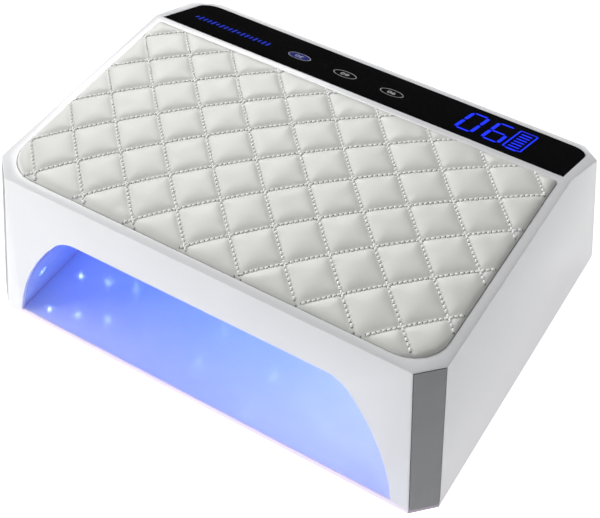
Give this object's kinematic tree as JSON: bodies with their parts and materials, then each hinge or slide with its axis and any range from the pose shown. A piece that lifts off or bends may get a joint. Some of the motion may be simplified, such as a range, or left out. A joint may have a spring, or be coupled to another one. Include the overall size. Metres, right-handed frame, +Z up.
{
  "type": "uv led nail lamp",
  "caption": "Box-shaped UV LED nail lamp: hand tunnel in front, quilted arm cushion on top, sloping black glass control panel behind, on a lift-off magnetic floor tray.",
  "frame": {"origin": "centre of the bounding box at the bottom of the rubber feet", "axes": "+Z up; +X to the lamp's right as seen by the person whose hand goes in; the hand goes in along +Y, so the mouth faces -Y"},
  "size_m": [0.2452, 0.1904, 0.0912],
  "materials": {
    "white_shell": "satin white moulded ABS with a faint moulded grain",
    "silver_trim": "satin silver strip",
    "cushion_skin": "off-white quilted synthetic leather with dashed stitching",
    "foam": "open-cell foam pad",
    "black_glass": "gloss black printed glass",
    "dark_plastic": "matte black plastic",
    "liner_plastic": "glossy reflective white plastic",
    "mirror_sheet": "polished reflecting sheet",
    "tray_plastic": "satin white tray",
    "rubber": "black rubber",
    "steel": "plated steel",
    "aluminium": "extruded aluminium",
    "circuit_board": "green solder mask",
    "led_board_white": "white solder mask with LED lenses",
    "cell_wrap": "metal can in a blue shrink sleeve",
    "wire_jacket": "red insulated lead"
  },
  "bodies": {
    "tray": {"base_plate": "tray_plastic", "floor_mirror": "mirror_sheet", "foot_pad_1": "rubber", "foot_pad_2": "rubber", "foot_pad_3": "rubber", "foot_pad_4": "rubber", "tray_magnet_1": "steel", "tray_magnet_2": "steel", "tray_magnet_3": "steel", "tray_magnet_4": "steel"},
    "lamp": {"outer_shell": "white_shell", "corner_strip_front_right": "silver_trim", "corner_strip_front_left": "silver_trim", "corner_strip_back_right": "silver_trim", "corner_strip_back_left": "silver_trim", "cushion_cover": "cushion_skin", "cushion_foam": "foam", "cushion_board": "dark_plastic", "display_glass": "black_glass", "display_module": "dark_plastic", "touch_pad_1": "dark_plastic", "touch_pad_2": "dark_plastic", "touch_pad_3": "dark_plastic", "control_board": "circuit_board", "reflector_liner": "liner_plastic", "led_board_left": "led_board_white", "led_board_right": "led_board_white", "led_board_roof": "led_board_white", "hand_sensor": "dark_plastic", "lower_chassis": "dark_plastic", "catch_disc_1": "steel", "catch_disc_2": "steel", "catch_disc_3": "steel", "catch_disc_4": "steel", "housing_screw_1": "steel", "housing_screw_2": "steel", "housing_screw_3": "steel", "housing_screw_4": "steel", "battery_holder": "dark_plastic", "battery_cell_1": "cell_wrap", "battery_cell_2": "cell_wrap", "battery_cell_3": "cell_wrap", "battery_cell_4": "cell_wrap", "power_board": "circuit_board", "heat_sink": "aluminium", "battery_lead": "wire_jacket", "panel_lead": "wire_jacket", "switch_body": "dark_plastic", "dc_jack": "dark_plastic"},
    "rocker": {"power_rocker": "dark_plastic"}
  },
  "joints": [
    {"name": "lift", "type": "slide", "parent": "tray", "child": "lamp", "axis": [0, 0, 1], "range_m": [0, 0.06]},
    {"name": "rocker_tilt", "type": "hinge", "parent": "lamp", "child": "rocker", "pos_m": [0.056, 0.08927, 0.04179], "axis": [1, 0, 0], "range_deg": [0, 16]}
  ]
}
